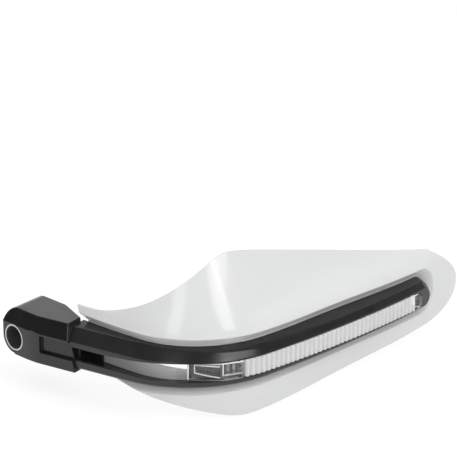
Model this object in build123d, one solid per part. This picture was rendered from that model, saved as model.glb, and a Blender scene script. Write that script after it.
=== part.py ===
from build123d import *
import os
from math import cos, pi, radians, sin, sqrt, tan

# A hand guard for a handlebar's end. X is the bar's axis and points inward, -Y is forward and Z is up.
# The origin is on the bar's axis, at the face that the bar's end rests on. All sizes are in millimetres.

# Spacing of the sections that the long curved pieces are lofted through, and points up a shield section
section_step = 13.0
curve_spans = 8

# How far a loft or cut runs past the place where it is trimmed, and the reach of the large cutters
overrun = 8.0
cutter_reach = 120.0

# Front line of the arm in plan: a straight leg, a bend and a gently curved leg to the tip
leg1_angle = 77.0
leg1_length = 80.0
bend_radius = 70.0
bend_exit_angle = 3.0
leg2_length = 149.6
leg2_turn = 10.5
crease_forward = 9.0

# Boss round the bar's end
boss_outer = 22.0
boss_inner = 8.0
boss_outer_radius = 10.6
boss_inner_radius = 15.2
boss_top = 18.2
boss_corner = 10.4

# Bracket, from the boss to the seam with the arm
bracket_end = 38.0
bracket_proud = 2.0
bracket_depth = 12.5
bracket_facet_depth = 4.5
bracket_facet_height = 9.7
bracket_slot_start = 14.0
bracket_slot_depth = 2.6
bracket_low = -11.3
bracket_crease_radius = 60.0
seam_tilt = 14.5

# Turned bush
bush_radius = 8.5
bush_wall = 1.25
bush_web = 6.0
bolt_radius = 4.25
bar_radius = 11.1
bar_clearance = 0.3
cup_wall = 1.2
cup_base = 3.0
collar_radius = 6.6
collar_height = 1.5
press_gap = 0.05

# Arm, as heights above the bar's axis and depths behind its front line
arm_low = -9.2
arm_low_tip = -5.2
arm_face_top = 8.0
arm_ridge_depth = 7.0
arm_ridge_depth_tip = 3.2
arm_ridge_height = 15.5
arm_ridge_height_tip = 11.4
arm_top = 16.0
arm_top_tip = 14.0
arm_wall = 2.2
arm_edge = 1.2
arm_closed_to = 51.0
tongue_length = 16.0
tongue_front = 3.6
tongue_back = 10.0
tongue_low = -6.5
tongue_high = 10.5
slide_gap = 0.25

# Window along the arm's front
window_low = -4.3
window_high = 7.2
window_low_leg1 = -3.5
window_high_leg1 = 4.4
window_end = 310.8

# Shield
wall = 3.0
seat_gap = 0.3
recess_depth = 5.6
recess_gap = 0.5
seat_depth = 9.4
seat_flare = 8.2
seat_flare_end = 118.0
seat_bow = 2.6
lean_start = 19.0
lean_slope = 0.85
lean_radius = 14.0
rim_start = 27.0
rim_rise = 39.0
rim_rise_from = 38.0
rim_rise_to = 167.0
rim_fall_height = 66.6
rim_fall_from = 170.0
rim_fall_slope = 0.223
low_rim_start = -12.4
low_rim_drop = 19.2
low_rim_from = 45.0
low_rim_to = 150.0
low_rim_power = 1.6
low_rim_rise = 0.065
rim_blend = 3.0
shield_end_top = 31.5
shield_end_low = 52.0
shield_tip = 364.2
tip_height = 1.0
tip_top_run = 33.0
tip_low_run = 38.0
tip_slope = 0.6
slit_from = 58.0
slit_to = 122.0
slit_low = 4.0
slit_high = 9.0
slit_low_bend = -1.0
slit_high_bend = 5.0

# Screws and wire hole through the shield's seat
screw_places = ((51.0, 7.0), (150.0, 10.2), (291.0, 10.2))
screw_radius = 1.5
screw_length = 7.5
screw_head_radius = 3.0
screw_head_height = 1.9
screw_gap = 0.2
post_radius = 2.6
pad_radius = 5.2
pad_height = 1.0
wire_hole_at = (321.5, 3.4)
wire_hole_radius = 3.0
wire_radius = 1.2
grommet_flange = 1.4
grommet_rim = 1.0

# Screw that holds the arm's tongue
arm_screw_along = 30.0
arm_screw_height = 2.0
arm_screw_radius = 2.0
arm_screw_head_radius = 3.5
arm_screw_head_height = 2.4
arm_screw_bite = 6.0
arm_screw_seat = 2.6

# Cross recess in the screw heads
cross_length = 3.6
cross_width = 1.0
cross_depth = 1.0

# Lamp in the window
lens_from = 117.5
lens_proud = 0.6
lens_gap = 0.15
lens_thick = 1.6
flute_from = 152.0
flute_pitch = 4.0
flute_width = 3.2
flute_depth = 0.9
tray_from = 140.0
tray_wall = 0.8
tray_depth = 3.6
tray_low = -2.6
tray_high = 6.6
board_thick = 1.0
board_height = 5.4
board_gap = 0.15
led_from = 147.0
led_pitch = 11.0
led_size = 3.2
led_thick = 0.9
resistor_size = (2.0, 1.2, 0.6)

cup_radius = bar_radius + bar_clearance + cup_wall
tray_front = -arm_wall - lens_thick - seat_gap
board_front = tray_front - tray_depth + board_gap + board_thick
bend_length = bend_radius * radians(leg1_angle - bend_exit_angle)
bend_start = leg1_length
bend_end = leg1_length + bend_length
arm_end = bend_end + leg2_length
runs = (
    (leg1_length, leg1_angle, leg1_angle),
    (bend_length, leg1_angle, bend_exit_angle),
    (leg2_length, bend_exit_angle, bend_exit_angle - leg2_turn),
)


def front_line(s):
    """Point of the front line at the length s along it, and its heading in radians."""
    x, y, left = -boss_outer, -crease_forward, s
    for run in runs:
        length, start_angle, end_angle = run
        step = left if run is runs[-1] else min(left, length)
        heading = -radians(start_angle)
        if start_angle == end_angle:
            x, y = x + step * cos(heading), y + step * sin(heading)
        else:
            radius = length / radians(start_angle - end_angle)
            turned = heading + step / radius
            x += radius * (sin(turned) - sin(heading))
            y += radius * (cos(heading) - cos(turned))
            heading = turned
        left -= step
        if left <= 0:
            break
    return x, y, heading


def across(s):
    """Plane across the guard at s: its x points out of the front, its y points up."""
    x, y, heading = front_line(s)
    return Plane((x, y, 0), x_dir=(sin(heading), -cos(heading), 0), z_dir=(-cos(heading), -sin(heading), 0))


def facing(s, out=0.0):
    """Plane that faces out of the front at s, moved out by a distance: its x runs towards the tip."""
    x, y, heading = front_line(s)
    origin = (x + out * sin(heading), y - out * cos(heading), 0)
    return Plane(origin, x_dir=(cos(heading), sin(heading), 0), z_dir=(sin(heading), -cos(heading), 0))


def ease(value, start, end):
    """Smooth step from 0 at start to 1 at end."""
    t = min(1.0, max(0.0, (value - start) / (end - start)))
    return t * t * (3 - 2 * t)


def mix(a, b, t):
    return a + (b - a) * t


def soft_min(a, b, blend):
    return (a + b - sqrt((a - b) ** 2 + blend**2)) / 2


def spread(start, end, count):
    return [mix(start, end, i / count) for i in range(count + 1)]


def stations(start, end):
    """Evenly spaced places for the sections of a loft."""
    return spread(start, end, max(1, round((end - start) / section_step)))


def along(profile, start, end):
    """Loft of the outline profile(s), given as (out, up) points, from start to end."""
    return loft([across(s) * make_face(Polyline(*profile(s), close=True)) for s in stations(start, end)])


def peg(s, height, out, radius, length):
    """Round peg from the distance out of the front line, going inward."""
    return facing(s, out) * Pos(0, height, -length / 2) * Cylinder(radius, length)


# Shared lines of the arm and its seat in the shield

def leg2_share(s):
    return ease(s, bend_start, bend_end)


def tip_share(s):
    return min(1.0, max(0.0, (s - bend_start) / (arm_end - bend_start)))


def low_edge(s):
    return mix(arm_low, arm_low_tip, tip_share(s))


def top_edge(s):
    return mix(arm_top, arm_top_tip, tip_share(s))


def seat(s):
    """Depth of the shield's seat behind the front line."""
    flare = max(0.0, (seat_flare_end - s) / (seat_flare_end - bracket_end))
    bow = sin(pi * min(1.0, max(0.0, (s - bend_end) / leg2_length)))
    return seat_depth + seat_flare * flare**2 + seat_bow * bow**2


def window_edges(s):
    t = ease(s, slit_from, lens_from)
    return mix(window_low_leg1, window_low, t), mix(window_high_leg1, window_high, t)


# Shield

def face_depth(s):
    """Depth of the shield's lower face behind the front line."""
    return seat(s) - recess_depth


def rim_top(s):
    rise = rim_start + rim_rise * ease(s, rim_rise_from, rim_rise_to)
    fall = rim_fall_height - rim_fall_slope * (s - rim_fall_from)
    return soft_min(rise, fall, rim_blend)


def rim_low(s):
    reach = max(0.0, (s - low_rim_from) / (low_rim_to - low_rim_from))
    drop = low_rim_start - low_rim_drop * reach**low_rim_power
    level = low_rim_start - low_rim_drop + low_rim_rise * (s - low_rim_to)
    return -soft_min(-drop, -level, rim_blend)


def lean(height):
    """How far the shield leans back at a height, and the slope there."""
    rise = max(0.0, height - lean_start)
    reach = sqrt(rise**2 + lean_radius**2)
    return lean_slope * (reach - lean_radius), lean_slope * rise / reach


def shield_curve(s, depth):
    """Points up the shield's section at s, the depth behind its outer face."""
    points = []
    for height in spread(rim_low(s), rim_top(s), curve_spans):
        back, slope = lean(height)
        tilt = sqrt(1 + slope**2)
        points.append((-face_depth(s) - back - depth / tilt, height - depth * slope / tilt))
    return points


def shield_section(s, depth):
    outer = shield_curve(s, 0)
    inner = shield_curve(s, depth)
    ends = [Line(outer[-1], inner[-1]), Line(inner[0], outer[0])]
    return across(s) * make_face([Spline(*outer), Spline(*inner), *ends])


def trough(start, grow, mouth):
    """Trough that the arm lies in, with sloping sides and a round end, grown by a wall up to its mouth."""
    side = grow * tan(radians(45 / 2))

    def profile(s):
        floor = -seat(s) - grow
        low = low_edge(s) - recess_gap - side
        high = top_edge(s) + recess_gap + side
        run = mouth(s) - floor
        return [(floor, low), (floor, high), (floor + run, high + run), (floor + run, low - run)]

    (floor, low), (_, high) = profile(arm_end)[:2]
    run = mouth(arm_end) - floor
    radius = (high - low) / 2
    round_end = Pos(0, (high + low) / 2, run / 2) * Cone(radius, radius + run, run)
    return along(profile, start, arm_end) + facing(arm_end, floor) * round_end


def shield_ends():
    """What is cut off at the shield's slanted end and round its tip."""
    far = cutter_reach
    slant = (rim_start - low_rim_start) / (shield_end_low - shield_end_top)
    low_s = shield_end_low + (far + low_rim_start) / slant
    top_s = shield_end_top - (far - rim_start) / slant
    mid = (shield_end_top + shield_end_low) / 2
    end = Polyline((low_s - mid, -far), (top_s - mid, far), (-far, far), (-far, -far), close=True)
    end_cut = extrude(facing(mid) * make_face(end), far, both=True)
    reach = shield_tip - arm_end
    low = rim_low(shield_tip - tip_low_run)
    top = rim_top(shield_tip - tip_top_run)
    nose = Spline(
        (reach - tip_top_run, top),
        (reach, tip_height),
        (reach - tip_low_run, low),
        tangents=((1, -tip_slope), (-1, -low_rim_rise)),
    )
    rest = Polyline(
        (reach - tip_low_run, low),
        (reach - tip_low_run, -far),
        (far, -far),
        (far, far),
        (reach - tip_top_run, far),
        (reach - tip_top_run, top),
    )
    tip_cut = extrude(facing(arm_end) * make_face([nose, rest]), far, both=True)
    return end_cut, tip_cut


def below_rim(s):
    """Outline of what the trough's wall would show under the shield's lower rim."""
    back, rim = -seat(s) - 2 * wall, rim_low(s)
    low = rim - 2 * (recess_depth + wall)
    return [(back, rim), (back, low), (wall, low), (wall, rim)]


def slit(s):
    """Outline of the vent slit, which grows towards the bend."""
    t = (s - slit_from) / (slit_to - slit_from)
    low, high = mix(slit_low, slit_low_bend, t), mix(slit_high, slit_high_bend, t)
    front, back = -seat(s) + wall, -seat(s) - 2 * wall
    return [(front, low), (front, high), (back, high), (back, low)]


def shield_shell():
    start = shield_end_top - overrun
    skin = loft([shield_section(s, wall) for s in stations(start, shield_tip + overrun)])
    pan = trough(start, wall, lambda s: -face_depth(s) - wall / 2)
    pan -= along(below_rim, start - overrun, arm_end)
    shell = skin + pan - trough(start - overrun, 0, lambda s: recess_depth)
    for cut in shield_ends():
        shell -= cut
    shell -= along(slit, slit_from, slit_to)
    for s, height in screw_places:
        back = -seat(s) - wall
        shell += peg(s, height, back + wall / 2, pad_radius, wall / 2 + pad_height)
        shell -= peg(s, height, back + 2 * wall, screw_radius + screw_gap, 4 * wall)
    s, height = wire_hole_at
    return shell - peg(s, height, -seat(s) + wall, wire_hole_radius, 3 * wall)


# Arm

def ridge(s):
    """The edge between the arm's steep facet and its top, as out and up."""
    t = leg2_share(s)
    return -mix(arm_ridge_depth, arm_ridge_depth_tip, t), mix(arm_ridge_height, arm_ridge_height_tip, t)


def arm_back(s):
    return -seat(s) + seat_gap


def arm_outline(s):
    low, top, back = low_edge(s), top_edge(s), arm_back(s)
    return [(0, low + arm_edge), (0, arm_face_top), ridge(s), (back, top), (back, low), (-arm_edge, low)]


def arm_hollow(s, behind=-arm_edge):
    out, up = ridge(s)
    low, top, back = low_edge(s) + arm_wall, top_edge(s) - arm_wall, arm_back(s) + behind
    front_top = (-arm_wall, arm_face_top - arm_wall / 3)
    return [(-arm_wall, low), front_top, (out - arm_wall, up - arm_wall), (back, top), (back, low)]


def window_outline(s):
    low, high = window_edges(s)
    return [(arm_wall, low), (arm_wall, high), (-2 * arm_wall, high), (-2 * arm_wall, low)]


def half_disc(s, out, low, high):
    """Half disc that bulges towards the tip, in the plane that faces out of the front."""
    radius = (high - low) / 2
    arc = ThreePointArc((0, low), (radius, low + radius), (0, high))
    return facing(s, out) * make_face([arc, Line((0, high), (0, low))])


def arm_cap():
    """Round end of the arm, with the same facets as its section."""
    low, top = low_edge(arm_end), top_edge(arm_end)
    out, up = ridge(arm_end)
    at_edge = mix(arm_face_top, up, arm_edge / -out)
    levels = (
        (0, low + arm_edge, arm_face_top),
        (-arm_edge, low, at_edge),
        (out, low, up),
        (arm_back(arm_end), low, top),
    )
    return loft([half_disc(arm_end, *level) for level in levels], ruled=True)


def arm_cap_hollow():
    points = arm_hollow(arm_end)
    return loft([half_disc(arm_end, out, points[0][1], up) for out, up in points[1:4]], ruled=True)


def block(start, end, front, back, low, high):
    """Straight block on the first leg."""
    size = Box(end - start, high - low, front - back)
    return facing((start + end) / 2) * Pos(0, (high + low) / 2, (front + back) / 2) * size


def closed_hollow(s):
    """Hollow of the arm's first stretch, which has a back wall."""
    return arm_hollow(s, arm_wall)


def window():
    low, high = window_edges(window_end)
    end = extrude(half_disc(window_end, arm_wall, low, high), -3 * arm_wall)
    return along(window_outline, bracket_end - arm_wall, window_end) + end


def seam_side(ahead):
    """All that lies ahead of the slanted seam between bracket and arm, or behind it."""
    middle = cutter_reach / 2 if ahead else -cutter_reach / 2
    size = Box(cutter_reach, cutter_reach, cutter_reach)
    return facing(bracket_end) * Rot(0, 0, seam_tilt) * Pos(middle, 0, 0) * size


def arm_tongue(gap):
    start = bracket_end - tongue_length - gap
    low, high = tongue_low - gap, tongue_high + gap
    return block(start, bracket_end + arm_wall, gap - tongue_front, -tongue_back - gap, low, high)


def support_arm():
    before = bracket_end - section_step
    solid = along(arm_outline, before, arm_end) + arm_cap() - seam_side(False)
    arm = solid - along(closed_hollow, bracket_end + arm_wall, arm_closed_to)
    arm = arm - along(arm_hollow, arm_closed_to, arm_end) - arm_cap_hollow()
    for s, height in screw_places:
        arm += peg(s, height, 0, post_radius, -arm_back(s)) & solid
    arm += arm_tongue(0)
    arm -= window()
    for s, height in screw_places:
        depth = seat(s) + wall + pad_height
        arm -= peg(s, height, screw_length - depth + screw_gap, screw_radius + press_gap, screw_length)
    return arm - arm_screw_shaft(press_gap)


# Bracket, bush and the screw between bracket and arm

def arm_screw_shaft(gap):
    back = -tongue_back - arm_screw_seat
    length = arm_screw_bite + arm_screw_seat
    return peg(arm_screw_along, arm_screw_height, back + length + gap, arm_screw_radius + gap, length + gap)


def plan_point(s, out):
    x, y, heading = front_line(s)
    return x + out * sin(heading), y - out * cos(heading)


def boss_outline(x, radius):
    """The boss across the bar's axis: round below, with a round corner at the top of its back."""
    corner = boss_corner * (1 - sqrt(0.5))
    edges = [
        ThreePointArc((-radius, 0), (0, -radius), (radius, 0)),
        Line((radius, 0), (radius, boss_top - boss_corner)),
        ThreePointArc(
            (radius, boss_top - boss_corner),
            (radius - corner, boss_top - corner),
            (radius - boss_corner, boss_top),
        ),
        Polyline((radius - boss_corner, boss_top), (-radius, boss_top), (-radius, 0)),
    ]
    return Plane.YZ.offset(x) * make_face(edges)


def bar_end_bracket():
    top, low = boss_top, -boss_inner_radius
    heading = front_line(0)[2]
    crease_s = bracket_proud * -sin(heading) / cos(heading)
    crease = plan_point(crease_s, bracket_proud)
    plan = Polyline(
        (-boss_outer, boss_inner_radius),
        crease,
        plan_point(bracket_end + overrun, bracket_proud),
        plan_point(bracket_end + overrun, -bracket_depth),
        plan_point(bracket_end, -bracket_depth),
        (boss_inner, -boss_inner_radius),
        (boss_inner, boss_inner_radius),
        close=True,
    )
    plan_face = make_face(plan)
    plan_face = fillet(plan_face.vertices().sort_by_distance((*crease, 0))[0], bracket_crease_radius)
    body = extrude(Pos(0, 0, low) * plan_face, top - low)
    face, far = bracket_proud, bracket_proud + boss_outer
    top_wedge = [(face - bracket_facet_depth, top), (far, top), (far, top - bracket_facet_height)]
    top_wedge.append((face, top - bracket_facet_height))
    wedge = make_face(Polyline(*top_wedge, close=True))
    outer_face = Plane((-boss_outer + bracket_proud, 0, 0), x_dir=(-1, 0, 0), z_dir=(0, 1, 0))
    for side in (across(0), outer_face):
        body -= extrude(side * wedge, cutter_reach, both=True)
    outlines = [boss_outline(-boss_outer, boss_outer_radius), boss_outline(boss_inner, boss_inner_radius)]
    end_y = plan_point(bracket_end + overrun, bracket_proud)[1]
    side_view = Polyline((0, top), (end_y, top), (end_y, bracket_low), (0, bracket_low), close=True)
    body &= loft(outlines, ruled=True) + extrude(Plane.YZ * make_face(side_view), cutter_reach, both=True)
    body -= seam_side(True)
    body -= bush_bore()
    body -= arm_tongue(slide_gap)
    recess_back = bracket_proud - bracket_slot_depth
    body -= block(bracket_slot_start, bracket_end + overrun, far, recess_back, window_low_leg1, window_high)
    head_seat = -tongue_back - arm_screw_seat
    body -= peg(arm_screw_along, arm_screw_height, head_seat, arm_screw_head_radius + slide_gap, boss_outer)
    return body - arm_screw_shaft(press_gap)


def bush_bore():
    cup, tube_radius = cup_radius + press_gap, bush_radius + press_gap
    length = boss_outer + boss_inner
    tube = Pos((boss_inner - boss_outer) / 2, 0, 0) * Rot(0, 90, 0) * Cylinder(tube_radius, length)
    depth = boss_inner + cup_base
    return tube + Pos((boss_inner - cup_base) / 2, 0, 0) * Rot(0, 90, 0) * Cylinder(cup, depth)


def bracket_bush():
    tube = bush_radius - bush_wall
    cup = bar_radius + bar_clearance
    lead = cup_wall / 2
    profile = Polyline(
        (-boss_outer, tube),
        (-boss_outer, bush_radius),
        (-cup_base, bush_radius),
        (-cup_base, cup_radius),
        (boss_inner, cup_radius),
        (boss_inner, cup + lead),
        (boss_inner - lead, cup),
        (0, cup),
        (0, collar_radius),
        (collar_height, collar_radius),
        (collar_height, bolt_radius),
        (-bush_web, bolt_radius),
        (-bush_web, tube),
        close=True,
    )
    return revolve(make_face(profile), Axis.X)


def headed_screw(shaft, head_at, head_radius, head_height):
    """A shaft and its round head, with a cross recess; head_at is the plane of the head's seat."""
    head = Pos(0, 0, -head_height / 2) * Cylinder(head_radius, head_height)
    head = chamfer(head.edges().filter_by(GeomType.CIRCLE).sort_by(Axis.Z)[0], head_height / 2)
    bar = Box(cross_length, cross_width, 2 * cross_depth)
    cross = Pos(0, 0, -head_height) * (bar + Rot(0, 0, 90) * bar)
    return shaft + head_at * (head - cross)


def arm_screw():
    head_at = facing(arm_screw_along, -tongue_back - arm_screw_seat) * Pos(0, arm_screw_height, 0)
    return headed_screw(arm_screw_shaft(0), head_at, arm_screw_head_radius, arm_screw_head_height)


def shell_screws():
    screws = []
    for s, height in screw_places:
        seat_out = -seat(s) - wall - pad_height
        shaft = peg(s, height, seat_out + screw_length, screw_radius, screw_length)
        head_at = facing(s, seat_out) * Pos(0, height, 0)
        screws.append(headed_screw(shaft, head_at, screw_head_radius, screw_head_height))
    return Compound(children=screws)


def wire_grommet():
    s, height = wire_hole_at
    floor = -seat(s)
    sleeve = peg(s, height, floor, wire_hole_radius - press_gap, wall + slide_gap)
    flange = peg(s, height, floor - wall - slide_gap / 2, wire_hole_radius + grommet_flange, grommet_rim)
    return sleeve + flange - peg(s, height, floor + wall, wire_radius, 3 * wall)


# Lamp, from the lens back to the board

def lens_outline(s):
    low, high = window_edges(s)
    low, high = low + lens_gap, high - lens_gap
    back, edge = -arm_wall - lens_thick, lens_proud
    front = [(0, low), (lens_proud, low + edge), (lens_proud, high - edge), (0, high)]
    return front + [(back, high), (back, low)]


def lamp_lens():
    low, high = window_edges(window_end)
    back = -arm_wall - lens_thick
    low, high = low + lens_gap, high - lens_gap
    levels = ((lens_proud, low + lens_proud, high - lens_proud), (0, low, high), (back, low, high))
    end = loft([half_disc(window_end, *level) for level in levels], ruled=True)
    lens = along(lens_outline, lens_from, window_end) + end
    half = flute_width / 2
    tooth = make_face(Polyline((-half, -lens_gap), (half, -lens_gap), (0, flute_depth), close=True))
    flute = Rot(90, 0, 0) * extrude(tooth, 2 * window_high, both=True)
    count = int((window_end - flute_from) / flute_pitch)
    return lens - [facing(flute_from + i * flute_pitch, back) * flute for i in range(count + 1)]


def tray_outline(s):
    back = tray_front - tray_depth - tray_wall
    return [(tray_front, tray_low), (back, tray_low), (back, tray_high), (tray_front, tray_high)]


def tray_hollow(s):
    front, floor = tray_front + tray_wall, tray_front - tray_depth
    low, high = tray_low + tray_wall, tray_high - tray_wall
    return [(front, low), (floor, low + tray_wall), (floor, high - tray_wall), (front, high)]


def lamp_reflector():
    tray = along(tray_outline, tray_from, window_end)
    return tray - along(tray_hollow, tray_from + tray_wall, window_end - tray_wall)


def board_outline(s):
    middle = (tray_low + tray_high) / 2
    low, high = middle - board_height / 2, middle + board_height / 2
    front, back = board_front, board_front - board_thick
    return [(front, low), (front, high), (back, high), (back, low)]


def lamp_board():
    return along(board_outline, tray_from + 2 * tray_wall, window_end - 2 * tray_wall)


def chip(s, length, height, thick):
    middle = (tray_low + tray_high) / 2
    return facing(s, board_front + board_gap) * Pos(0, middle, thick / 2) * Box(length, height, thick)


def led_row():
    count = int((window_end - led_from) / led_pitch)
    return [led_from + i * led_pitch for i in range(count + 1)]


def lamp_leds():
    return Compound(children=[chip(s, led_size, led_size, led_thick) for s in led_row()])


def lamp_resistors():
    length, height, thick = resistor_size
    return Compound(children=[chip(s + led_pitch / 2, height, length, thick) for s in led_row()[:-1:2]])


if __name__ == "__main__":
    os.makedirs("parts", exist_ok=True)
    pieces = (
        shield_shell,
        support_arm,
        bar_end_bracket,
        bracket_bush,
        arm_screw,
        shell_screws,
        wire_grommet,
        lamp_lens,
        lamp_reflector,
        lamp_board,
        lamp_leds,
        lamp_resistors,
    )
    for piece in pieces:
        export_step(piece(), f"parts/{piece.__name__}.step")
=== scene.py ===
import bpy
import math
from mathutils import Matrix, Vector


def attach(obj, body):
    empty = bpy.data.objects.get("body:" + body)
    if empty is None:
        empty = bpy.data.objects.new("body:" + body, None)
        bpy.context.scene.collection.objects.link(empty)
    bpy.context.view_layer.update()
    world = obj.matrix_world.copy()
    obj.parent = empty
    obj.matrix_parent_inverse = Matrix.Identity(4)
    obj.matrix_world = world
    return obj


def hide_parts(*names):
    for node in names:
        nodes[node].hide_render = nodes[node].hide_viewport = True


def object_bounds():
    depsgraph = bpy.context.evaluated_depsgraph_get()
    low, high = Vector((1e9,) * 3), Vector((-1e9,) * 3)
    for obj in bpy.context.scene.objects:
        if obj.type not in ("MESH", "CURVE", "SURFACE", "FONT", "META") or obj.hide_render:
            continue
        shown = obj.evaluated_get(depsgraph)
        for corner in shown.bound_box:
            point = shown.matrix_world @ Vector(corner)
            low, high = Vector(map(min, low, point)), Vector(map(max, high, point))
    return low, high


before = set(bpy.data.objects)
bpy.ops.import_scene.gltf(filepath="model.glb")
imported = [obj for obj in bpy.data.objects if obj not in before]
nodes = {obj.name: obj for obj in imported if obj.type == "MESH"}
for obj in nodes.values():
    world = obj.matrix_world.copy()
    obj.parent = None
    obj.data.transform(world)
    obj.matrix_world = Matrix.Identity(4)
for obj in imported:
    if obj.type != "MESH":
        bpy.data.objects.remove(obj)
cad_low, cad_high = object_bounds()

MM = 0.001

# The arm's front line in plan, as in the solids, in millimetres: a straight leg, a bend and a curved leg
LINE_START = (-22.0, -9.0)
LEG1_ANGLE, LEG1_LENGTH = 77.0, 80.0
BEND_RADIUS, BEND_EXIT_ANGLE = 70.0, 3.0
LEG2_LENGTH, LEG2_TURN = 149.6, 10.5

# Lens in the arm's window: lengths along the front line, heights, and distances out of it
LENS_FROM, CLEAR_END, RIBS_FROM, RIBS_TO, LENS_END = 117.5, 138.6, 154.0, 308.0, 310.8
LENS_LOW, LENS_HIGH = -4.15, 7.05
LENS_FRONT, LENS_BACK, LENS_SINK = 0.6, -3.8, 3.4
FLANGE_TO = 118.6
CLEAR_STEP = 1.5
RIB_PITCH, RIB_DEPTH, RIB_STEPS = 4.0, 1.5, 8
ROUND_STEPS = 8
LENS_ANGLE = 30.0

# The lens's bevelled edge, the heights in it where a face counts as bevelled and takes the painted highlight
# white, and its limit at the round tip
LENS_EDGE = 0.6
EDGE_FROM, EDGE_TO = 0.1 * LENS_EDGE, 0.9 * LENS_EDGE
EDGE_SHARE = 2.2

# Ridges on the lens's clear end, in the white that paints its edge highlights: two that run along it, by
# their heights at its ends, and one upright
RIDGE_FROM, RIDGE_TO = 122.6, 137.6
RIDGE_HEIGHTS = ((6.3, 5.2), (1.0, -2.0))
RIDGE_HALF, RIDGE_RISE, RIDGE_ROOT = 0.4, 0.25, 0.4
RIDGE_STEPS, UPRIGHT_STEPS = 10, 2
RIDGE_ANGLE = 40.0

# Black plug behind the lens's clear end, and the lamp's dark leads behind the clear stretch after it
PLUG_FROM, PLUG_FRONT, PLUG_BACK, PLUG_EDGE = 118.8, -4.3, -5.9, 0.4
PLUG_STEPS, PLUG_ANGLE = 8, 40.0
LEAD_PLACES = (141.9, 145.9, 149.6)
LEAD_OUT, LEAD_RADIUS, LEAD_LOW, LEAD_HIGH = -4.75, 0.65, -1.2, 5.0
LEAD_SIDES, LEAD_ANGLE = 16, 40.0

# Rounding of the moulded edges, the angle past which an edge counts as sharp, and the steps of a rounding
SHIELD_EDGE, SHIELD_ANGLE = 0.35, 40.0
ARM_EDGE, ARM_ANGLE = 0.4, 12.0
BRACKET_EDGE, BRACKET_ANGLE = 0.5, 17.0
EDGE_SEGMENTS = 2

# Points nearer than this are joined, and faces that turn by less than this angle are merged
WELD_GAP = 0.005
FLAT_ANGLE = 0.5

# The shield's screws, as lengths along the front line and heights; edges this near to them stay as they are
SCREW_PLACES = ((51.0, 7.0), (150.0, 10.2), (291.0, 10.2))
PLAIN_RADIUS = 9.0

# Depth of the grain in every moulded skin, and the span of its clouds over which the gloss changes
GRAIN_DEPTH = 0.1
CLOUD_SPAN = (0.3, 0.7)

# Radius inside which the bush's bore is painted dark as the shade of its deep hole, so that only its lip is
# bright, and the width of the change
SHADED_BORE_RADIUS, SHADED_BORE_BLEND = 7.6, 0.1

# Clear plastic of the lens, and the share of light that passes it where it is clear and where it carries the
# painted highlight white
LENS_IOR = 1.49
CLEAR_SHARE, PAINTED_LIGHT_SHARE = 1.0, 0.3

# Camera and floor
VIEW_AZIMUTH, VIEW_ELEVATION = -44.4, 21.2
VIEW_CENTRE = Vector((115.0, -65.0, 10.0)) * MM
VIEW_DISTANCE = 1.6
VIEW_RIGHT, VIEW_UP = -10.1 * MM, 42.4 * MM
CAMERA_LENS, CAMERA_SENSOR = 196.9, 36.0
FLOOR_SIZE = 30.0
FLOOR_GAP = 0.5 * MM
FLOOR_BOUNCE, FLOOR_SHADOW, FLOOR_GLOW = 0.75, 0.25, 0.80
FLOOR_ROUGHNESS = 0.9

# Studio wall behind the guard: white up to a height angle, dim above it and beside it
WALL_BEARING, WALL_SIDE = 30.0, 0.15
WALL_ANGLE, CEILING_ANGLE = 24.0, 29.5
DIM_LEVEL = 0.05

# Soft light of the studio, weaker from the bar's end of the guard than from its tip
SOFT_LEFT, SOFT_RIGHT = 0.38, 0.72

# Lamps: bearing from +X and height angle in degrees, distance, width and height in metres, power in watts.
# Two tall strips streak the shield's bend, one lamp is overhead, one lights the arm's bend, one is behind.
LAMPS = {
    "left_strip": (-158, 30, 1.7, (0.48, 1.5), 5.5),
    "front_strip": (-95, 32, 1.7, (0.42, 1.5), 6.8),
    "overhead": (15, 56, 1.6, (0.9, 0.8), 0.5),
    "bend_spot": (-73, 55, 1.6, (0.75, 0.45), 3.5),
    "back_fill": (100, 50, 1.8, (1.2, 1.0), 5.0),
}


# Places along the front line

def front_line(s):
    """Point of the front line at the length s along it, and its heading in radians."""
    x, y = LINE_START
    bend_turn = math.radians(LEG1_ANGLE - BEND_EXIT_ANGLE)
    runs = (
        (LEG1_LENGTH, 0.0),
        (BEND_RADIUS * bend_turn, bend_turn),
        (LEG2_LENGTH, math.radians(LEG2_TURN)),
    )
    heading, left = -math.radians(LEG1_ANGLE), s
    for length, turn in runs:
        step = min(left, length)
        turned = heading + turn * step / length
        middle, half = (heading + turned) / 2, (turned - heading) / 2
        chord = step * (math.sin(half) / half if half else 1.0)
        x, y = x + chord * math.cos(middle), y + chord * math.sin(middle)
        heading, left = turned, left - step
    return x, y, heading


def at(s, out, up):
    """Point in the frame at the length s, the distance out of the front line and the height."""
    x, y, heading = front_line(s)
    return Vector((x + out * math.sin(heading), y - out * math.cos(heading), up)) * MM


def spread(start, end, count):
    """Values from start to end in equal steps."""
    return [start + (end - start) * i / count for i in range(count + 1)]


# Helpers for node trees

def new_material(name):
    """A material with an empty tree but for its output and shader."""
    material = bpy.data.materials.new(name)
    material.use_nodes = True
    tree = material.node_tree
    tree.nodes.clear()
    output = tree.nodes.new("ShaderNodeOutputMaterial")
    shader = tree.nodes.new("ShaderNodeBsdfPrincipled")
    tree.links.new(shader.outputs["BSDF"], output.inputs["Surface"])
    return material, tree, shader


def add(tree, kind, **settings):
    """A new node of a kind, with its settings."""
    node = tree.nodes.new(kind)
    for key, value in settings.items():
        setattr(node, key, value)
    return node


def ramp(tree, source, span, values):
    """Value that goes from values[0] to values[1] while the source goes over the span."""
    node = add(tree, "ShaderNodeMapRange")
    node.inputs["From Min"].default_value, node.inputs["From Max"].default_value = span
    node.inputs["To Min"].default_value, node.inputs["To Max"].default_value = values
    tree.links.new(source, node.inputs["Value"])
    return node


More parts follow.
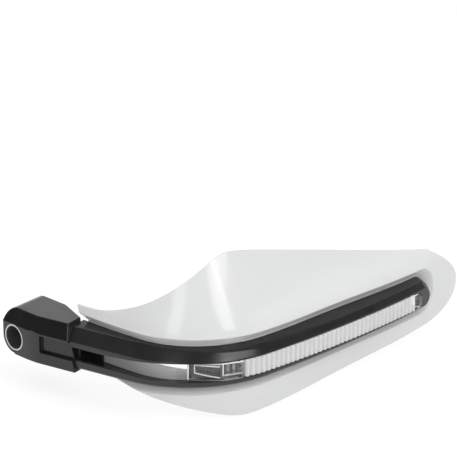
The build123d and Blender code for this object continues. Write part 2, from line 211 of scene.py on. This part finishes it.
def tint(tree, factor, low, high):
    """Colour between two, each a colour or the output of another node, by a factor."""
    node = add(tree, "ShaderNodeMix", data_type="RGBA")
    for name, colour in (("A", low), ("B", high)):
        if isinstance(colour, bpy.types.NodeSocket):
            tree.links.new(colour, node.inputs[name])
        else:
            node.inputs[name].default_value = (*colour, 1)
    tree.links.new(factor, node.inputs["Factor"])
    return node.outputs["Result"]


def moulded_skin_group():
    """Fine grain and slow cloudiness over a surface, as two values from 0 to 1."""
    group = bpy.data.node_groups.new("moulded_skin", "ShaderNodeTree")
    for name in ("Grain Scale", "Cloud Scale"):
        group.interface.new_socket(name, in_out="INPUT", socket_type="NodeSocketFloat")
    for name in ("Grain", "Cloud"):
        group.interface.new_socket(name, in_out="OUTPUT", socket_type="NodeSocketFloat")
    inputs = group.nodes.new("NodeGroupInput")
    outputs = group.nodes.new("NodeGroupOutput")
    place = group.nodes.new("ShaderNodeTexCoord")
    for name, detail in (("Grain", 2.0), ("Cloud", 4.0)):
        noise = group.nodes.new("ShaderNodeTexNoise")
        noise.inputs["Detail"].default_value = detail
        group.links.new(place.outputs["Object"], noise.inputs["Vector"])
        group.links.new(inputs.outputs[f"{name} Scale"], noise.inputs["Scale"])
        group.links.new(noise.outputs["Fac"], outputs.inputs[name])
    return group


SKIN = moulded_skin_group()


def moulded(name, dark, light, gloss, grain, cloud, bump):
    """A surface whose colour, gloss and relief vary with the skin, at the given scales of grain and cloud."""
    material, tree, shader = new_material(name)
    skin = add(tree, "ShaderNodeGroup", node_tree=SKIN)
    skin.inputs["Grain Scale"].default_value = grain
    skin.inputs["Cloud Scale"].default_value = cloud
    tree.links.new(tint(tree, skin.outputs["Cloud"], dark, light), shader.inputs["Base Color"])
    rough = ramp(tree, skin.outputs["Cloud"], CLOUD_SPAN, gloss)
    tree.links.new(rough.outputs["Result"], shader.inputs["Roughness"])
    relief = add(tree, "ShaderNodeBump")
    relief.inputs["Strength"].default_value = bump
    relief.inputs["Distance"].default_value = GRAIN_DEPTH * MM
    tree.links.new(skin.outputs["Grain"], relief.inputs["Height"])
    tree.links.new(relief.outputs["Normal"], shader.inputs["Normal"])
    return material, shader


# Finishes

def shield_white():
    dark, light = (0.725, 0.73, 0.735), (0.755, 0.76, 0.76)
    return moulded("shield_white", dark, light, gloss=(0.10, 0.15), grain=500, cloud=18, bump=0.02)[0]


def black_satin(name, level):
    """Satin black, a touch blue, with lighter clouds."""
    dark = [level * share for share in (1.0, 1.0, 1.08)]
    light = [level * share for share in (1.6, 1.6, 1.7)]
    return moulded(name, dark, light, gloss=(0.15, 0.24), grain=1600, cloud=60, bump=0.06)[0]


def screw_steel():
    dark, light = (0.3, 0.3, 0.31), (0.42, 0.42, 0.43)
    material, shader = moulded(
        "screw_steel", dark, light, gloss=(0.25, 0.4), grain=1200, cloud=120, bump=0.06)
    shader.inputs["Metallic"].default_value = 1.0
    return material


def bush_metal():
    """Bright turned lip and cup; inside a radius from the bar's axis the bore is painted dark, as painted
    shade of its deep hole.
    """
    dark, light, painted_bore_shade = (0.5, 0.5, 0.51), (0.66, 0.66, 0.67), (0.07, 0.07, 0.072)
    material, shader = moulded("bush_metal", dark, light, gloss=(0.22, 0.34), grain=700, cloud=160, bump=0.03)
    tree = material.node_tree
    place = add(tree, "ShaderNodeTexCoord")
    across = add(tree, "ShaderNodeVectorMath", operation="MULTIPLY")
    across.inputs[1].default_value = (0, 1, 1)
    radius = add(tree, "ShaderNodeVectorMath", operation="LENGTH")
    tree.links.new(place.outputs["Object"], across.inputs[0])
    tree.links.new(across.outputs["Vector"], radius.inputs[0])
    # Painted shade: inside this radius the bore goes dark
    span = (SHADED_BORE_RADIUS * MM, (SHADED_BORE_RADIUS + SHADED_BORE_BLEND) * MM)
    lip = ramp(tree, radius.outputs["Value"], span, (0.0, 1.0)).outputs["Result"]
    turned = shader.inputs["Base Color"].links[0].from_socket
    tree.links.new(tint(tree, lip, painted_bore_shade, turned), shader.inputs["Base Color"])
    tree.links.new(lip, shader.inputs["Metallic"])
    return material


def grommet_rubber():
    dark, light = (0.018, 0.018, 0.018), (0.03, 0.03, 0.03)
    return moulded("grommet_rubber", dark, light, gloss=(0.55, 0.7), grain=1500, cloud=60, bump=0.2)[0]


def lens_clear():
    dark, light = (0.93, 0.94, 0.945), (0.96, 0.965, 0.97)
    material, shader = moulded("lens_clear", dark, light, gloss=(0.02, 0.06), grain=300, cloud=30, bump=0.01)
    shader.inputs["Transmission Weight"].default_value = CLEAR_SHARE
    shader.inputs["IOR"].default_value = LENS_IOR
    return material


def lens_painted_light():
    """Painted highlights and reflection on the lens: white on its ribs, edges and flange, standing in for the
    bright tray seen through the clear ribs and for light caught on its edges.
    """
    dark, light = (0.87, 0.875, 0.88), (0.93, 0.935, 0.94)
    material, shader = moulded("lens_painted_light", dark, light, gloss=(0.06, 0.12), grain=300, cloud=60, bump=0.02)
    shader.inputs["Transmission Weight"].default_value = PAINTED_LIGHT_SHARE
    shader.inputs["IOR"].default_value = LENS_IOR
    return material


def reflector_bright():
    """Bright metal film of the tray behind the lens."""
    dark, light = (0.86, 0.865, 0.87), (0.9, 0.905, 0.91)
    material, shader = moulded(
        "reflector_bright", dark, light, gloss=(0.2, 0.3), grain=400, cloud=60, bump=0.05)
    shader.inputs["Metallic"].default_value = 1.0
    return material


def board_white():
    dark, light = (0.78, 0.79, 0.78), (0.85, 0.85, 0.845)
    return moulded("board_white", dark, light, gloss=(0.35, 0.5), grain=900, cloud=80, bump=0.1)[0]


def chip_phosphor():
    dark, light = (0.82, 0.79, 0.62), (0.87, 0.85, 0.72)
    return moulded("led_chip", dark, light, gloss=(0.2, 0.3), grain=900, cloud=300, bump=0.05)[0]


def resistor_glaze():
    dark, light = (0.04, 0.04, 0.045), (0.07, 0.07, 0.075)
    return moulded("resistor_dark", dark, light, gloss=(0.3, 0.45), grain=900, cloud=200, bump=0.1)[0]


def floor_white():
    """Pale floor that the camera, glass and gloss see as white, with a soft shadow."""
    material, tree, shader = new_material("floor_white")
    shader.inputs["Roughness"].default_value = FLOOR_ROUGHNESS
    shader.inputs["Specular IOR Level"].default_value = 0.0
    shader.inputs["Emission Color"].default_value = (1, 1, 1, 1)
    rays = add(tree, "ShaderNodeLightPath")
    bounce, shadow = (FLOOR_BOUNCE,) * 3, (FLOOR_SHADOW,) * 3
    soft = rays.outputs["Is Diffuse Ray"]
    tree.links.new(tint(tree, soft, shadow, bounce), shader.inputs["Base Color"])
    glow = ramp(tree, soft, (0.0, 1.0), (FLOOR_GLOW, 0.0))
    tree.links.new(glow.outputs["Result"], shader.inputs["Emission Strength"])
    return material


STEEL = screw_steel()
PAINTED_LENS_LIGHT = lens_painted_light()
FINISHES = {
    "shield_shell": shield_white(),
    "support_arm": black_satin("arm_black", 0.015),
    "bar_end_bracket": black_satin("bracket_black", 0.008),
    "bracket_bush": bush_metal(),
    "arm_screw": STEEL,
    "shell_screws": STEEL,
    "wire_grommet": grommet_rubber(),
    "lamp_lens": lens_clear(),
    "lamp_reflector": reflector_bright(),
    "lamp_board": board_white(),
    "lamp_leds": chip_phosphor(),
    "lamp_resistors": resistor_glaze(),
}
for name, node in nodes.items():
    node.data.materials.clear()
    node.data.materials.append(FINISHES[name])


# Helpers for pieces

def only(piece):
    """Selects one piece and nothing else."""
    bpy.ops.object.select_all(action="DESELECT")
    piece.select_set(True)
    bpy.context.view_layer.objects.active = piece


def weld(piece):
    """Joins points that lie together and goes on in edit mode, with everything selected."""
    only(piece)
    bpy.ops.object.mode_set(mode="EDIT")
    bpy.ops.mesh.select_all(action="SELECT")
    bpy.ops.mesh.remove_doubles(threshold=WELD_GAP * MM)


def round_edges(piece, width, angle, plain=lambda point: False):
    """Rounds the edges sharper than the angle, except where plain(point) holds at their middle."""
    only(piece)
    bpy.ops.object.mode_set(mode="EDIT")
    bpy.ops.mesh.select_mode(type="EDGE")
    bpy.ops.mesh.select_all(action="DESELECT")
    bpy.ops.mesh.edges_select_sharp(sharpness=math.radians(angle))
    bpy.ops.object.mode_set(mode="OBJECT")
    mesh = piece.data
    weights = mesh.attributes.new("bevel_weight_edge", "FLOAT", "EDGE")
    for edge in mesh.edges:
        start, end = (mesh.vertices[k].co for k in edge.vertices)
        weights.data[edge.index].value = float(edge.select and not plain((start + end) / 2))
    bevel = piece.modifiers.new("edge", "BEVEL")
    bevel.width = width * MM
    bevel.segments = EDGE_SEGMENTS
    bevel.limit_method = "WEIGHT"
    bevel.use_clamp_overlap = False
    bpy.ops.object.modifier_apply(modifier=bevel.name)


def near_screw(point):
    """Whether a point of the shield lies near one of its screws, seen along the screw."""
    for s, height in SCREW_PLACES:
        heading = front_line(s)[2]
        reach = point - at(s, 0, height)
        along = reach.x * math.cos(heading) + reach.y * math.sin(heading)
        if math.hypot(along, reach.z) < PLAIN_RADIUS * MM:
            return True
    return False


def rounded_copy(node_name, piece_name, width, angle, plain=lambda point: False):
    """Copy of a solid with its sharp edges rounded, which takes the solid's place."""
    source = nodes[node_name]
    piece = source.copy()
    piece.data = source.data.copy()
    piece.name = piece_name
    bpy.context.scene.collection.objects.link(piece)
    weld(piece)
    bpy.ops.mesh.dissolve_limited(angle_limit=math.radians(FLAT_ANGLE))
    bpy.ops.object.mode_set(mode="OBJECT")
    round_edges(piece, width, angle, plain)
    # A corner that the rounding threw out goes back to the solid's surface
    for vertex in piece.data.vertices:
        found, nearest, _, _ = source.closest_point_on_mesh(vertex.co)
        if found and (vertex.co - nearest).length > width * MM:
            vertex.co = nearest
    bpy.ops.object.shade_smooth_by_angle(angle=math.radians(angle))
    broad = piece.modifiers.new("broad", "WEIGHTED_NORMAL")
    broad.keep_sharp = True
    bpy.ops.object.modifier_apply(modifier=broad.name)
    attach(piece, "root")
    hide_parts(node_name)


def swept_bar(name, places, outline):
    """Closed bar through the points of outline(s), as (out, up), at each place along the front line."""
    rows = [outline(s) for s in places]
    spans, sides = len(places) - 1, len(rows[0])
    bpy.ops.object.select_all(action="DESELECT")
    bpy.ops.mesh.primitive_grid_add(x_subdivisions=spans, y_subdivisions=sides, size=1)
    piece = bpy.context.object
    piece.name = name
    for vertex in piece.data.vertices:
        i = round((vertex.co.x + 0.5) * spans)
        j = round((vertex.co.y + 0.5) * sides) % sides
        vertex.co = at(places[i], *rows[i][j])
    weld(piece)
    bpy.ops.mesh.fill_holes(sides=0)
    bpy.ops.mesh.normals_make_consistent(inside=False)
    bpy.ops.object.mode_set(mode="OBJECT")
    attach(piece, "root")
    return piece


# Moulded pieces

rounded_copy("shield_shell", "rounded_shield", SHIELD_EDGE, SHIELD_ANGLE, near_screw)
rounded_copy("support_arm", "rounded_arm", ARM_EDGE, ARM_ANGLE)
rounded_copy("bar_end_bracket", "rounded_bracket", BRACKET_EDGE, BRACKET_ANGLE)


# Lamp

def sink(s):
    """How much deeper the lens's straight end lies than its ribs."""
    return LENS_SINK * max(0.0, CLEAR_END - s) / (CLEAR_END - LENS_FROM)


def lens_outline(s):
    """Section of the lens at the length s, as (out, up): its back corners, bevelled edges and front."""
    low, high = LENS_LOW, LENS_HIGH
    radius, middle = (high - low) / 2, (high + low) / 2
    if s > LENS_END:
        half = math.sqrt(max(0.0, radius**2 - (s - LENS_END) ** 2))
        low, high = middle - half, middle + half
    edge = min(LENS_EDGE, (high - low) / EDGE_SHARE)
    front, back = LENS_FRONT - sink(s), LENS_BACK - sink(s)
    if RIBS_FROM <= s <= RIBS_TO:
        front -= RIB_DEPTH * (1 - abs(math.sin(math.pi * (s - RIBS_FROM) / RIB_PITCH)))
    face = [(front, low + edge), (front, middle), (front, high - edge)]
    return [(back, low), (front - edge, low), *face, (front - edge, high), (back, high)]


def lens():
    """The lens: a clear end, ribs that stand upright in white that paints the reflection of the bright tray
    behind them, and a clear round tip.
    """
    clear = [LENS_FROM] + spread(FLANGE_TO, RIBS_FROM, round((RIBS_FROM - FLANGE_TO) / CLEAR_STEP))
    ribs = spread(RIBS_FROM, RIBS_TO, round((RIBS_TO - RIBS_FROM) / RIB_PITCH * RIB_STEPS))
    radius = (LENS_HIGH - LENS_LOW) / 2
    tip = [LENS_END + radius * math.sin(math.pi / 2 * i / ROUND_STEPS) for i in range(ROUND_STEPS)]
    piece = swept_bar("lens", clear + ribs[1:] + tip, lens_outline)
    piece.data.materials.append(FINISHES["lamp_lens"])
    piece.data.materials.append(PAINTED_LENS_LIGHT)
    flange_to, heading = at(FLANGE_TO, 0, 0), front_line(FLANGE_TO)[2]
    along = Vector((math.cos(heading), math.sin(heading)))
    ribs_from, ribs_to = at(RIBS_FROM, 0, 0).x, at(RIBS_TO, 0, 0).x
    # Ribs, bevelled edges and the flange take the painted highlight white; the rest stays clear
    for face in piece.data.polygons:
        height = face.center.z / MM
        ribbed = ribs_from < face.center.x < ribs_to
        to_edge = min(height - LENS_LOW, LENS_HIGH - height)
        bevelled = EDGE_FROM < to_edge < EDGE_TO
        flange = (face.center - flange_to).xy.dot(along) < 0
        face.material_index = int(ribbed or bevelled or flange)
    only(piece)
    bpy.ops.object.shade_smooth_by_angle(angle=math.radians(LENS_ANGLE))
    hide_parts("lamp_lens")


def lens_ridges():
    """Ridges on the front of the lens's clear end, two along it and one upright at its start, in white that
    paints the highlights on the clear end's edges.
    """
    def ridge(name, places, low, high):
        def outline(s):
            front = LENS_FRONT - sink(s)
            root, crest = front - RIDGE_ROOT, front + RIDGE_RISE
            return [(root, low(s)), (crest, low(s)), (crest, high(s)), (root, high(s))]
        piece = swept_bar(name, places, outline)
        piece.data.materials.append(PAINTED_LENS_LIGHT)
        round_edges(piece, RIDGE_RISE / 2, RIDGE_ANGLE)
        bpy.ops.object.shade_smooth_by_angle(angle=math.radians(RIDGE_ANGLE))

    def height(ends, offset):
        start, end = ends
        return lambda s: start + (end - start) * (s - RIDGE_FROM) / (RIDGE_TO - RIDGE_FROM) + offset

    along = spread(RIDGE_FROM, RIDGE_TO, RIDGE_STEPS)
    upper, lower = RIDGE_HEIGHTS
    ridge("lens_upper_ridge", along, height(upper, -RIDGE_HALF), height(upper, RIDGE_HALF))
    ridge("lens_lower_ridge", along, height(lower, -RIDGE_HALF), height(lower, RIDGE_HALF))
    upright = spread(RIDGE_FROM - 2 * RIDGE_HALF, RIDGE_FROM, UPRIGHT_STEPS)
    ridge("lens_end_ridge", upright, height(lower, -RIDGE_HALF), height(upper, RIDGE_HALF))


def plug_outline(s):
    """Section of the plug at the length s, as (out, up)."""
    front, back = PLUG_FRONT - sink(s), PLUG_BACK - sink(s)
    return [(back, LENS_LOW), (front, LENS_LOW), (front, LENS_HIGH), (back, LENS_HIGH)]


def lamp_end_plug():
    """Black plug behind the lens's clear end."""
    plug = swept_bar("lamp_end_plug", spread(PLUG_FROM, CLEAR_END, PLUG_STEPS), plug_outline)
    plug.data.materials.append(FINISHES["support_arm"])
    round_edges(plug, PLUG_EDGE, PLUG_ANGLE)
    bpy.ops.object.shade_smooth_by_angle(angle=math.radians(PLUG_ANGLE))


def lamp_leads():
    """Dark leads that stand between the plug and the ribs: one with rounded ends, and its copies."""
    height, middle = LEAD_HIGH - LEAD_LOW, (LEAD_HIGH + LEAD_LOW) / 2
    bpy.ops.object.select_all(action="DESELECT")
    bpy.ops.mesh.primitive_cylinder_add(vertices=LEAD_SIDES, radius=LEAD_RADIUS * MM, depth=height * MM)
    first = bpy.context.object
    round_edges(first, LEAD_RADIUS / 2, LEAD_ANGLE)
    leads = [first]
    for _ in LEAD_PLACES[1:]:
        lead = first.copy()
        lead.data = first.data.copy()
        bpy.context.scene.collection.objects.link(lead)
        leads.append(lead)
    for lead, s in zip(leads, LEAD_PLACES):
        lead.location = at(s, LEAD_OUT, middle)
        lead.select_set(True)
    bpy.ops.object.transform_apply(location=True)
    bpy.ops.object.join()
    first.name = "lamp_leads"
    first.data.materials.append(FINISHES["bar_end_bracket"])
    bpy.ops.object.shade_smooth_by_angle(angle=math.radians(LEAD_ANGLE))
    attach(first, "root")


lens()
lens_ridges()
lamp_end_plug()
lamp_leads()


# Stage

def floor():
    bpy.ops.object.select_all(action="DESELECT")
    bpy.ops.mesh.primitive_plane_add(size=FLOOR_SIZE, location=(0, 0, cad_low.z - FLOOR_GAP))
    plane = bpy.context.object
    plane.name = "floor"
    plane.data.materials.append(floor_white())


def around(azimuth, elevation, distance):
    """Place round the guard, by its bearing from +X, its height angle and its distance."""
    turn, rise = math.radians(azimuth), math.radians(elevation)
    ray = Vector((math.cos(turn) * math.cos(rise), math.sin(turn) * math.cos(rise), math.sin(rise)))
    return VIEW_CENTRE + ray * distance


def area_light(name, place, size, power):
    """A flat lamp that faces the guard."""
    data = bpy.data.lights.new(name, "AREA")
    data.shape = "RECTANGLE"
    data.size, data.size_y = size
    data.energy = power
    light = bpy.data.objects.new(name, data)
    bpy.context.scene.collection.objects.link(light)
    light.location = place
    light.rotation_euler = (VIEW_CENTRE - place).to_track_quat("-Z", "Y").to_euler()


def studio_world():
    """Plain soft light; gloss sees white walls under a dim ceiling; camera and glass see white."""
    world = bpy.data.worlds.new("studio")
    bpy.context.scene.world = world
    world.use_nodes = True
    tree = world.node_tree
    rays = add(tree, "ShaderNodeLightPath")
    heading = add(tree, "ShaderNodeTexCoord")
    split = add(tree, "ShaderNodeSeparateXYZ")
    tree.links.new(heading.outputs["Generated"], split.inputs["Vector"])
    ahead = add(tree, "ShaderNodeVectorMath", operation="DOT_PRODUCT")
    bearing = math.radians(WALL_BEARING)
    ahead.inputs[1].default_value = (math.cos(bearing), math.sin(bearing), 0)
    tree.links.new(heading.outputs["Generated"], ahead.inputs[0])
    span = (math.sin(math.radians(WALL_ANGLE)), math.sin(math.radians(CEILING_ANGLE)))
    low = ramp(tree, split.outputs["Z"], span, (1.0, 0.0)).outputs["Result"]
    behind = ramp(tree, ahead.outputs["Value"], (-WALL_SIDE, WALL_SIDE), (0.0, 1.0)).outputs["Result"]
    wall = add(tree, "ShaderNodeMath", operation="MULTIPLY")
    tree.links.new(low, wall.inputs[0])
    tree.links.new(behind, wall.inputs[1])
    soft = ramp(tree, split.outputs["X"], (-1.0, 1.0), (SOFT_LEFT, SOFT_RIGHT)).outputs["Result"]
    white, dim = (1, 1, 1), (DIM_LEVEL,) * 3
    shine = tint(tree, wall.outputs["Value"], dim, white)
    level = tint(tree, rays.outputs["Is Diffuse Ray"], white, soft)
    level = tint(tree, rays.outputs["Is Glossy Ray"], level, shine)
    tree.links.new(level, tree.nodes["Background"].inputs["Color"])


floor()
studio_world()
for name, (bearing, height_angle, distance, size, power) in LAMPS.items():
    area_light(name, around(bearing, height_angle, distance), size, power)


# Camera

turn, rise = math.radians(VIEW_AZIMUTH), math.radians(VIEW_ELEVATION)
back = Vector((math.sin(turn) * math.cos(rise), -math.cos(turn) * math.cos(rise), math.sin(rise)))
right = Vector((math.cos(turn), math.sin(turn), 0))
up = back.cross(right)
camera = bpy.data.objects.new("camera", bpy.data.cameras.new("camera"))
bpy.context.scene.collection.objects.link(camera)
camera.data.lens = CAMERA_LENS
camera.data.sensor_width = CAMERA_SENSOR
camera.location = VIEW_CENTRE + back * VIEW_DISTANCE
aim = VIEW_CENTRE + right * VIEW_RIGHT + up * VIEW_UP
camera.rotation_euler = (aim - camera.location).to_track_quat("-Z", "Y").to_euler()
bpy.context.scene.camera = camera
bpy.context.scene.view_settings.view_transform = "Standard"
